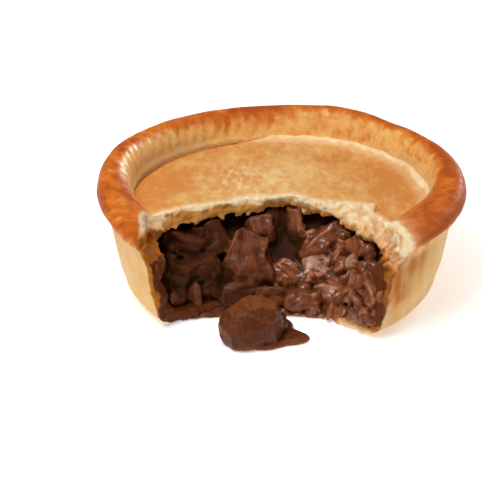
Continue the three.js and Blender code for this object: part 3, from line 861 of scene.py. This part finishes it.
def steak_finish(filling):
    """Cooked steak under glossy gravy, with the meat's grain along each chunk."""
    finish = Finish("steak_in_gravy")
    grain = finish.node("ShaderNodeAttribute", {"attribute_name": "grain"}, output=1)
    fibres = finish.mottle(filling.fibre_width / MM, 21, detail=3, stretch=(9, 1, 1), place=grain)
    patchy = finish.mottle(4, 22, detail=3)
    fine = finish.mottle(0.8, 23, detail=3)
    light = finish.painted("light")
    thin = finish.painted("thin")
    deep = finish.painted("deep")

    # Meat where it shows through the gravy, with pale ridges and pieces that are partly painted highlights,
    # and painted shade in the gaps, behind the slope and on the chunks at the left.
    meat = finish.coats(
        filling.dark_meat, (fibres * 0.45 + patchy * 0.15 + light * 0.6 - 0.13, filling.meat),
    )
    gravy = finish.coats(
        filling.gravy,
        (patchy, between(filling.gravy, filling.thin_gravy, 0.25)),
        (thin, filling.thin_gravy),
    )
    bare = finish.painted("meat") * (0.4 + 0.6 * patchy) * (1 - 0.7 * thin)
    body = finish.coats(
        gravy,
        (bare, meat),
        # pale meat on ridges, partly a painted highlight
        (finish.painted("proud") * light * (0.25 + 0.6 * patchy), filling.pale_meat_and_highlight),
        # pale pieces, partly painted highlights
        (finish.step(light, 1.0, 1.5) * (0.25 + 0.65 * patchy), filling.fat_and_highlight),
        # painted shade on the chunks at the left, under the lid
        (finish.step(light, 0.45, 0.0) * 0.6, filling.shaded_gravy),
        # painted shade in dips, behind the slope and in one gap
        (deep * 0.8, filling.shaded_gravy),
    )

    # Wet spots of gravy, with dull meat between them.
    spots = finish.mottle(3.2, 24, low=0.46, high=0.64)
    wet = (0.04 + 0.8 * spots) * (1 - deep) * finish.step(light, 0.05, 0.6)
    rough = 0.26 + bare * 0.2 + deep * 0.4 + (fine - 0.5) * 0.1
    return finish.surface(
        Base_Color=body, Roughness=rough, Specular_IOR_Level=0.1, Coat_Weight=wet, Coat_Roughness=0.15,
        Normal=finish.relief(fibres * bare * 0.5 + fine * 0.5, 0.18),
    )


class PieOperator(bpy.types.Operator):
    """A step in the making of the pie."""

    bl_options = {"REGISTER", "UNDO"}


class PIE_OT_stage(PieOperator):
    """Sets out the floor, the lights and the camera"""

    bl_idname = "steak_pie.stage"
    bl_label = "Set the stage"

    def execute(self, context):
        stage = context.scene.pie_stage
        self.add_floor(stage)
        for light in LIGHTS:
            self.add_light(light)
        world = bpy.data.worlds.new("studio")
        world.use_nodes = True
        sky = world.node_tree.nodes["Background"].inputs
        sky["Color"].default_value = (1, 1, 1, 1)
        sky["Strength"].default_value = stage.sky_glow
        context.scene.world = world
        context.scene.view_settings.view_transform = "Standard"
        context.scene.camera = self.add_camera(stage)
        return {"FINISHED"}

    def add_floor(self, stage):
        """A plain floor, just under the pie."""
        deselect()
        bpy.ops.mesh.primitive_grid_add(
            x_subdivisions=4, y_subdivisions=4, size=FLOOR_SIZE, location=(0, 0, -FLOOR_GAP * MM),
        )
        floor = bpy.context.object
        floor.name = "floor"
        floor.data.materials.append(Finish("pale_floor").surface(
            Base_Color=stage.floor, Roughness=0.9,
            Emission_Color=(1, 1, 1), Emission_Strength=stage.floor_glow,
        ))

    def add_light(self, light):
        """A square soft light that faces the pie."""
        turn = Vector(light.place).to_track_quat("Z", "Y").to_euler()
        bpy.ops.object.light_add(type="AREA", location=light.place, rotation=turn)
        lamp = bpy.context.object
        lamp.name = light.name
        lamp.data.size = light.size
        lamp.data.energy = light.power

    def add_camera(self, stage):
        """A camera that looks down at the pie from the front."""
        back = Vector((0, -math.cos(stage.elevation), math.sin(stage.elevation)))
        place = Vector(stage.aim) + stage.distance * back
        bpy.ops.object.camera_add(location=place, rotation=back.to_track_quat("Z", "Y").to_euler())
        camera = bpy.context.object
        camera.data.lens = stage.focal
        camera.data.shift_x, camera.data.shift_y = stage.shift
        return camera


class PIE_OT_case(PieOperator):
    """Models the pastry case, with its crimped rim and its torn front"""

    bl_idname = "steak_pie.case"
    bl_label = "Pastry case"

    def execute(self, context):
        settings = context.scene.pie_case
        case = spun("baked_case", self.section(settings), CASE_STEPS)
        self.crimp(case, settings)
        sheet = tear_off(case, CASE_TEAR)
        join(case, [self.crumbs()])
        even_out(case, CASE_VOXEL, smoothing=2)
        self.roughen(case, sheet)
        thin_out(case)
        self.colour_in(case, sheet, settings)
        hand_over(case, case_finish(settings), "case_pastry", "pastry_case")
        return {"FINISHED"}

    def section(self, settings):
        """The case's section: base, wall, rim with a lip below, recess for the lid, inside."""
        rim = settings.rim_radius / MM
        height = settings.height / MM
        base = settings.base_thickness / MM
        wall = settings.wall_thickness / MM
        foot = (rim - 17.5, 0)
        lip = (rim - 3.6, 30)
        bulge = (rim - 0.2, 32)
        crest = (rim - CREST_INSET, height)
        seam = rim - SEAM_INSET
        inner_foot = (rim - 8 - wall, base + 6.5)
        return [
            (0, 0), foot, *bend(foot, (rim - 8.6, 0), (rim - 8, 7), 7),
            (rim - 6.6, 12.4), (rim - 5.4, 18.25), (rim - 4.4, 24), (rim - 3.5, 29.4), lip,
            *bend(lip, (rim - 0.6, 29.6), bulge, 5),
            *bend(bulge, (rim + 0.3, 38.6), crest, 9),
            *bend(crest, (rim - 8.25, height), (rim - 9.55, 30.5), 12),
            (seam, 29.3), (seam, 28.5), (seam, LEDGE_HEIGHT), (rim - 13, LEDGE_HEIGHT),
            (rim - 5.4 - wall, 18.25), inner_foot,
            *bend(inner_foot, (inner_foot[0], base), (rim - 19, base), 5), (0, base),
        ]

    def crimp(self, case, settings):
        """Presses ribs into the rim's inner face, lets the rim sway and lift, and widens it by the tear."""
        places = read_places(case)
        radius, angle = polar(places)
        degrees = np.degrees(angle)
        height = places[:, 2].copy()
        crest = settings.rim_radius / MM - CREST_INSET
        plain_seam = settings.rim_radius / MM - SEAM_INSET
        free = step(height, *WALL_TO_RIM)

        wave = np.cos(settings.ribs * angle + waves_at(RIB_WAVES, angle))
        wave *= 0.75 + 0.4 * np.sin(5 * angle + 2) * np.sin(11 * angle)
        strength = (0.65 - 0.35 * np.sin(angle + 0.5)) * step(np.abs(degrees), 85, 105)
        inner = (radius < crest) * step(height, *RIBS_BEGIN) * step(height, *RIBS_END)
        face = np.clip((crest - radius) / (crest - plain_seam), 0, 1)
        widening = plain_seam - round_the_rim(SEAM_RADII, degrees)
        shift = waves_at(SWAY_WAVES, angle) * free
        shift -= settings.rib_depth / MM * inner * wave * strength
        shift -= widening * face ** 1.3 * step(height, 28.2, 28.6)
        scale = 1 + np.divide(shift, radius, out=np.zeros_like(radius), where=radius > 20)
        places[:, :2] *= scale[:, None]

        height += free * (waves_at(LIFT_WAVES, angle) + round_the_rim(RIM_LIFTS, degrees))
        lip = (radius > crest) * step(height, *LIP_BEGINS) * step(height, *LIP_ENDS)
        sideways = np.sin(angle)
        sides = step(sideways, -0.2, 0.7) + LEFT_LIP_SHARE * step(sideways, -0.3, -0.8)
        by_tear = step(np.abs(degrees - TORN_LIP_ANGLE), 25, 8)
        places[:, 2] = height + settings.lip_lift / MM * lip * sides + TORN_LIP_LIFT * lip * by_tear
        set_places(case, places)

    def crumbs(self):
        """Lumps of crumb on the torn ends of the rim and the top of the wall."""
        draws = np.random.default_rng(CASE_CRUMB_SEED)
        places = crumb_spots(CASE_TEAR, draws, 24, 37.5)
        wall = np.interp(places[:, 2], (24, 31, 38), (52, 53, 55.5))
        spots = places[np.abs(polar(places)[0] - wall) < 2.6]
        sizes = draws.uniform(1.2, 2.2, len(spots)) * np.interp(spots[:, 0], (-10, 10), (0.75, 1.3))
        lump = CRUMBLED + draws.uniform(-0.55, 0.55, (CRUMBLED_COUNT, 3)) * CRUMBLED_REACH
        sizes = np.concatenate([sizes, draws.uniform(2, 3.4, len(lump))])
        return add_crumbs(np.vstack([spots, lump]), sizes, CASE_CRUMB_SEED + 1)

    def roughen(self, case, sheet):
        """Gives the torn faces flakes and crumb, and the crust its slight unevenness."""
        places, facings = read_places(case), read_facings(case)
        torn = step(distances(places, sheet), 1.2, 0.4)
        radius = polar(places)[0]
        flaked = np.column_stack([radius, places[:, 2], np.zeros_like(radius)])
        flakes = lumps(flaked, (1.3, 7, 1), 3)
        crumb = layered_lumps(places, (4, 0.7, 4), (1.5, 0.22, 5)) + 0.4 * flakes
        skin = layered_lumps(places, (9, 0.25, 6), (2.6, 0.07, 7)) * step(places[:, 2], 0.3, 3)
        places += facings * (torn * crumb + (1 - torn) * skin)[:, None]
        places[:, 2] = np.maximum(places[:, 2], 0)
        set_places(case, places)

    def colour_in(self, case, sheet, settings):
        """Marks where the pastry is torn, soaked, covered with gravy and browned."""
        places, facings = read_places(case), read_facings(case)
        x, y, z = places.T
        radius, angle = polar(places)
        degrees = np.degrees(angle)
        away = distances(places, sheet)
        ragged = 3 * lumps(places, 5, 8)
        right = step(x, -5, 5)

        outward = (x * facings[:, 0] + y * facings[:, 1]) / np.maximum(radius, 1)
        inside = (outward < 0.2) * (z < 25) * (z > 3.5)
        crumbled = step(np.linalg.norm((places - CRUMBLED) / CRUMBLED_REACH, axis=1), 1.1, 0.9)
        paint(case, "torn", np.maximum.reduce([step(away, 1.9, 1.0), inside, crumbled]))
        gravy = right * self.gravy_at_right(x, z, radius, ragged)
        gravy += (1 - right) * self.gravy_at_left(z, radius, ragged)
        paint(case, "gravy", np.maximum(gravy, inside))
        soak = np.exp(-((away - 4.5) / 8) ** 2) * step(z + 0.5 * ragged, 31, 27)
        soak *= 0.25 + 0.75 * step(z + ragged, 7, 16)
        paint(case, "soak", soak * (0.1 + 0.9 * right))
        paint(case, "edge", right * np.exp(-away / 2) * step(z, 24, 29))

        crest = settings.rim_radius / MM - CREST_INSET
        face = (crest - radius) / (crest - round_the_rim(SEAM_RADII, degrees))
        paint(case, "face", np.clip(face, 0, 1) * (z > 28))
        paint(case, "browned", round_the_rim(BROWNED_SHARES, degrees))

    def gravy_at_right(self, x, z, radius, ragged):
        """Gravy on the torn wall at the right: thick inside, a stain above, little on the base's edge."""
        covered = step(z + ragged, 29, 24) * (0.6 + 0.4 * step(radius + 0.3 * ragged, 54.5, 51))
        covered = np.maximum(covered, 0.36 * step(z + 0.4 * ragged, 32, 28))
        base = step(z + 0.3 * ragged, 6, 4) * step(x, *BASE_EDGE)
        return covered * (1 - base) + base * (0.16 + 0.34 * step(z + 0.3 * ragged, 0.5, 4.5))

    def gravy_at_left(self, z, radius, ragged):
        """Gravy at the left's torn wall: a stain, partly painted shade, deeper by the wall's outside and low
        down.
        """
        outer = step(radius + 0.5 * ragged, 52, 55) * step(z, 37, 35)
        stained = 0.16 + 0.04 * ragged + 0.4 * np.maximum(outer, step(z + 0.5 * ragged, 33, 29))
        return stained + 0.4 * step(z + ragged, 9, 3)


class PIE_OT_lid(PieOperator):
    """Models the sunken lid, with its lifted edge and its torn front"""

    bl_idname = "steak_pie.lid"
    bl_label = "Lid"

    def execute(self, context):
        settings = context.scene.pie_lid
        lid = spun("golden_lid", self.section(settings), LID_STEPS)
        self.lift_edge(lid, settings)
        sheet = tear_off(lid, LID_TEAR)
        join(lid, [self.crumbs(settings)])
        even_out(lid, LID_VOXEL, smoothing=2)
        self.roughen(lid, sheet)
        thin_out(lid)
        self.colour_in(lid, sheet, settings)
        hand_over(lid, lid_finish(settings), "lid_pastry", "pastry_lid")
        return {"FINISHED"}

    def section(self, settings):
        """The lid's section: domed below and above, with a rounded edge."""
        radius = settings.radius / MM
        edge = LID_SEAT + settings.thickness / MM
        middle = edge + settings.dome / MM
        underside = (0, LID_UNDERSIDE)
        below_edge = (radius, edge - LID_ROUNDING)
        above_edge = (radius - LID_ROUNDING, edge)
        return [
            underside, *bend(underside, (radius / 2, LID_UNDERSIDE), (radius - 2.4, LID_SEAT), 10),
            (radius, LID_SEAT), below_edge, *bend(below_edge, (radius, edge), above_edge, 4),
            *bend(above_edge, (radius / 2, middle), (0, middle), 40),
        ]

    def sides(self, angle):
        """How far an angle is in the right back, where the edge is lifted, and in the left back."""
        right_back = step(np.abs(angle % math.tau - math.radians(130)), math.radians(72), math.radians(48))
        left_back = step(np.abs(angle + math.radians(135)), math.radians(50), math.radians(25))
        return right_back, left_back

    def lift_edge(self, lid, settings):
        """Lets the top undulate, and lifts the edge into a thin uneven ridge round the right back."""
        places = read_places(lid)
        radius, angle = polar(places)
        upper = step(places[:, 2], 28, 29)
        places[:, 2] += upper * step(radius, 10, 20) * 0.35 * np.sin(3 * angle + 0.14 * radius)
        uneven = layered_lumps(places, (7, 0.6, 9), (3, 0.6, 10))
        edge = step(settings.radius / MM - radius + 0.8 * uneven, 3.0, 1.2)
        right_back, left_back = self.sides(angle)
        places[:, 2] += upper * edge * (right_back * (1.3 + 0.9 * uneven) - left_back * 0.5)
        spread = edge * (right_back * 0.4 - left_back * 0.6)
        places[:, :2] *= (1 + spread / np.maximum(radius, 1))[:, None]
        set_places(lid, places)

    def crumbs(self, settings):
        """Lumps of crumb that hang on the torn edge, more and larger to the right."""
        draws = np.random.default_rng(LID_CRUMB_SEED)
        places = crumb_spots(LID_TEAR, draws, 26, 31)
        within = polar(places)[0] < settings.radius / MM - 0.5
        chosen = draws.uniform(0, 1, CRUMB_TRIES) < np.interp(places[:, 0], (0, 15), (0.2, 0.28))
        spots = places[within & chosen]
        sizes = draws.uniform(0.9, 1.7, len(spots)) * np.interp(spots[:, 0], (0, 20), (1, 2.7))
        return add_crumbs(spots, sizes, LID_CRUMB_SEED + 1)

    def roughen(self, lid, sheet):
        """Gives the torn edge layers and crumb, and the top its slight unevenness."""
        places, facings = read_places(lid), read_facings(lid)
        torn = step(distances(places, sheet), 1.3, 0.4)
        crumb = layered_lumps(places, (4, 0.8, 14), (1.5, 0.22, 15), ((7, 7, 1.1), 0.3, 13))
        skin = layered_lumps(places, (8, 0.18, 16), (2.5, 0.06, 17))
        set_places(lid, places + facings * (torn * crumb + (1 - torn) * skin)[:, None])

    def colour_in(self, lid, sheet, settings):
        """Marks where the lid is torn and soaked, and the paler bands by the tear and on the lifted edge."""
        places, facings = read_places(lid), read_facings(lid)
        x, z = places[:, 0], places[:, 2]
        radius, angle = polar(places)
        lid_radius = settings.radius / MM
        away = distances(places, sheet)
        paint(lid, "torn", np.maximum(step(away, 1.7, 0.9), step(facings[:, 2], 0.1, -0.2)))

        underside = LID_UNDERSIDE - (LID_UNDERSIDE - LID_SEAT) * (radius / lid_radius) ** 2
        stain = underside + np.interp(x, (-25, 0, 20), (3.1, 2.9, 0.9)) + 1.2 * lumps(places, 4, 18)
        depth = np.interp(x, (-32, -14), (0.66, 0.54)) + 0.2 * lumps(places, 5, 20)
        paint(lid, "soak", depth * step(z, stain + 1.5, stain - 1.3))

        inset = lid_radius - radius + layered_lumps(places, (3, 0.9, 19), (7, 0.7, 9))
        lifted = self.sides(angle)[0] * np.maximum(step(inset, 2.9, 1.6), 0.45 * step(inset, 7, 2.5))
        paint(lid, "edge", np.maximum(lifted, 0.6 * step(away, 4, 1)))


class PIE_OT_filling(PieOperator):
    """Models the steak in gravy, as chunks over a core that runs through the pie"""

    bl_idname = "steak_pie.filling"
    bl_label = "Filling"

    def execute(self, context):
        settings = context.scene.pie_filling
        case = context.scene.pie_case
        recessed = FILLING_TEAR._replace(above=[(x, y + CORE_RECESS) for x, y in FILLING_TEAR.above])
        filling = spun("steak_and_gravy", self.core_section(settings, case), FILLING_STEPS)
        tear_off(filling, recessed)
        apron = self.apron(case)
        chunks = CHUNKS + self.shreds()
        pieces = [add_chunk(chunk, CHUNK_SEED + number) for number, chunk in enumerate(chunks)]
        join(filling, [apron, *pieces])
        even_out(filling, FILLING_VOXEL, smoothing=2)
        thin_out(filling)
        fray(filling, chunks, settings, split=1.2, fibre_depth=0.28)
        self.keep_inside(filling)
        self.colour_in(filling)
        hand_over(filling, steak_finish(settings), "steak_in_gravy", "filling")
        return {"FINISHED"}

    def core_section(self, settings, case):
        """The core's section: it fills the case and sinks towards the wall."""
        wall = (case.rim_radius - case.wall_thickness) / MM
        base = case.base_thickness / MM
        top = settings.top / MM
        return [(0, base + 0.3), (wall - 15, base + 0.3), (wall - 8.8, base + 6), (wall - 5.9, 18),
                (wall - 7, 20), (36, top), (0, top)]

    def apron(self, case):
        """The gravy in front of the torn pastry, just inside the wall's outer face and low at the left."""
        rim = case.rim_radius / MM
        section = [
            (0, FLOOR_GAP), (rim - 17, FLOOR_GAP), (rim - 10, 6), (rim - 8, 18), (rim - 12, 20), (0, 20),
        ]
        apron = spun("apron", section, FILLING_STEPS)
        tear_off(apron, CASE_TEAR, "INTERSECT")
        tear_off(apron, FILLING_TEAR)
        places = read_places(apron)
        highest = np.interp(places[:, 0], (-30, -20), (5, 23))
        lowest = np.interp(places[:, 0], BASE_EDGE, (FLOOR_GAP, 4.2))
        places[:, 2] = np.maximum(np.minimum(places[:, 2], highest), lowest)
        set_places(apron, places)
        return apron

    def shreds(self):
        """Small shreds of steak over the slope, most of them to the right, and on the torn wall there."""
        draws = np.random.default_rng(SHRED_SEED)
        shreds = []
        for group in SLOPE_SHREDS:
            places, sizes, turns = self.scatter(group, draws)
            # Shreds at the left are darker: painted shade under the lid.
            light = np.interp(places[:, 0], (-12, 12), (0.0, 0.75))
            light += draws.choice((0, 0.1, 0.15, 0.2, 0.25, 0.75), group.count)
            shreds += map(Chunk, places, sizes, turns, light)
        places, sizes, turns = self.scatter(WALL_SHREDS, draws)
        light = draws.uniform(0.3, 0.9, WALL_SHREDS.count)
        return [*shreds, *map(Chunk, places, sizes, turns, light)]

    def scatter(self, group, draws):
        """Draws the places, sizes and turns of a group of shreds."""
        count = group.count
        shares = draws.uniform(*group.shares, count)
        places = tear_places(group.tear, shares, draws.uniform(*group.heights, count))
        places[:, 1] -= draws.uniform(*group.fronts, count)
        sizes = draws.uniform(*group.sizes, (count, 1))
        sizes = sizes * draws.uniform((1, 0.6, 0.6), (group.longest, 1, 1), (count, 3))
        return places, sizes, draws.uniform(-90, 90, (count, 3))

    def keep_inside(self, filling):
        """Holds the filling within the wall, over the floor and the base's edge, and under the lid."""
        places = read_places(filling)
        wall = np.interp(places[:, 2], (0, 6, 18, 25), (44, 51, 53.4, 54))
        places[:, :2] *= np.minimum(1, wall / np.maximum(polar(places)[0], 1))[:, None]
        lowest = np.interp(places[:, 0], BASE_EDGE, (FLOOR_GAP, 4))
        lowest += step(places[:, 0], *BASE_EDGE) * 0.5 * lumps(places, 5, 26)
        places[:, 2] = np.clip(places[:, 2], lowest, FILLING_CEILING)
        set_places(filling, places)

    def slope(self, places):
        """How far back the filling's slope is, at each place's width and height."""
        shares = np.linspace(0, 1, SLOPE_POINTS)
        low, high = (along(line, shares).T for line in (FILLING_TEAR.below, FILLING_TEAR.above))
        rise = np.clip(places[:, 2] / FILLING_TEAR.top, 0, 1)
        return (1 - rise) * np.interp(places[:, 0], *low) + rise * np.interp(places[:, 0], *high)

    def colour_in(self, filling):
        """Marks painted shade in dips, behind the slope and in a gap, painted highlights on ridges, and thin
        gravy.
        """
        places = read_places(filling)
        hollow = hollows(filling, 14)
        # Painted shade behind the slope of chunks, in dips of the meat and in one gap of the slope.
        behind = step(places[:, 1] - self.slope(places), 0.5, 5)
        gap = step(np.linalg.norm(places - PAINTED_SHADOW_SPOT, axis=1), 7, 4.5)
        dips = np.maximum(step(hollow, *DIP), step(hollows(filling, 60), *BROAD_DIP))
        paint(filling, "deep", np.maximum.reduce([behind, dips, gap]))
        paint(filling, "proud", step(hollow, *RIDGE))
        by_wall = step(polar(places)[0], 47.5, 51.5) * step(places[:, 2], 4, 8)
        paint(filling, "thin", np.maximum(step(places[:, 2], 3, 0.5) * 0.8, by_wall * 0.7))


class PIE_OT_spill(PieOperator):
    """Models the chunk of steak in front and the gravy it lies in, with the filling's finish"""

    bl_idname = "steak_pie.spill"
    bl_label = "Spilled steak"

    def execute(self, context):
        spill = self.pool()
        join(spill, [add_chunk(chunk, SPILLED_SEED + number, SPILLED_ROUNDNESS, SPILLED_WARP)
                     for number, chunk in enumerate(SPILLED_CHUNKS)])
        even_out(spill, SPILL_VOXEL, smoothing=10)
        fray(spill, SPILLED_CHUNKS, context.scene.pie_filling, split=0.15, fibre_depth=0.1)
        places = read_places(spill)
        places[:, 2] = np.maximum(places[:, 2], FLOOR_GAP)
        set_places(spill, places)
        self.colour_in(spill)
        finish = bpy.data.objects["steak_and_gravy"].data.materials[0]
        hand_over(spill, finish, "steak_in_gravy", "spilled_steak")
        return {"FINISHED"}

    def pool(self):
        """A flat pool of gravy with a rounded edge, lobed, with one run to the right and one to the pie."""
        edge = (POOL_RADIUS, 0)
        section = [(0, 0), edge, *bend(edge, (11, 0.6), (9.6, 1.8), 5), (6.5, POOL_HEIGHT), (0, POOL_HEIGHT)]
        pool = spun("spilled_chunk", section, POOL_STEPS)
        places = read_places(pool)
        radius, angle = polar(places)
        runs = sum(reach * np.maximum(np.cos(angle - math.radians(turn)), 0) ** narrowness
                   for reach, turn, narrowness in POOL_RUNS)
        grow = 1 + (POOL_LOBES * np.sin(3 * angle) + runs) / POOL_REACH * step(radius, 2, 8)
        places[:, :2] = places[:, :2] * grow[:, None] * (1, POOL_SQUEEZE) + POOL_MIDDLE
        set_places(pool, places)
        return pool

    def colour_in(self, spill):
        """Marks painted shade in dips, painted highlights on ridges, thin gravy on the floor, and the flat
        top painted lit.
        """
        height = read_places(spill)[:, 2]
        hollow = hollows(spill, 20)
        paint(spill, "deep", step(hollow, *DIP))
        paint(spill, "proud", step(hollow, *RIDGE))
        # Painted light: the flat top is lighter, as lit from above, in the thin gravy's colour.
        painted_lit_top = step(read_facings(spill)[:, 2], 0.6, 0.95) * step(height, 8, 11)
        paint(spill, "thin", np.maximum(step(height, 2.6, 0.8), painted_lit_top))


class PIE_PT_sidebar(bpy.types.Panel):
    """The pie's steps and settings"""

    bl_label = "Steak pie"
    bl_space_type = "VIEW_3D"
    bl_region_type = "UI"
    bl_category = "Pie"

    def draw(self, context):
        for operator in OPERATORS:
            self.layout.operator(operator.bl_idname)
        for name in SETTINGS:
            settings = getattr(context.scene, name)
            box = self.layout.box()
            for key in settings.__annotations__:
                box.prop(settings, key)


SETTINGS = {
    "pie_case": CaseSettings,
    "pie_lid": LidSettings,
    "pie_filling": FillingSettings,
    "pie_stage": StageSettings,
}
OPERATORS = [PIE_OT_stage, PIE_OT_case, PIE_OT_lid, PIE_OT_filling, PIE_OT_spill]


def register():
    for cls in (*SETTINGS.values(), *OPERATORS, PIE_PT_sidebar):
        bpy.utils.register_class(cls)
    for name, cls in SETTINGS.items():
        setattr(bpy.types.Scene, name, PointerProperty(type=cls))


def unregister():
    for name in SETTINGS:
        delattr(bpy.types.Scene, name)
    for cls in reversed((*SETTINGS.values(), *OPERATORS, PIE_PT_sidebar)):
        bpy.utils.unregister_class(cls)


def main():
    register()
    bpy.ops.steak_pie.stage()
    bpy.ops.steak_pie.case()
    bpy.ops.steak_pie.lid()
    bpy.ops.steak_pie.filling()
    bpy.ops.steak_pie.spill()


if __name__ == "__main__":
    main()
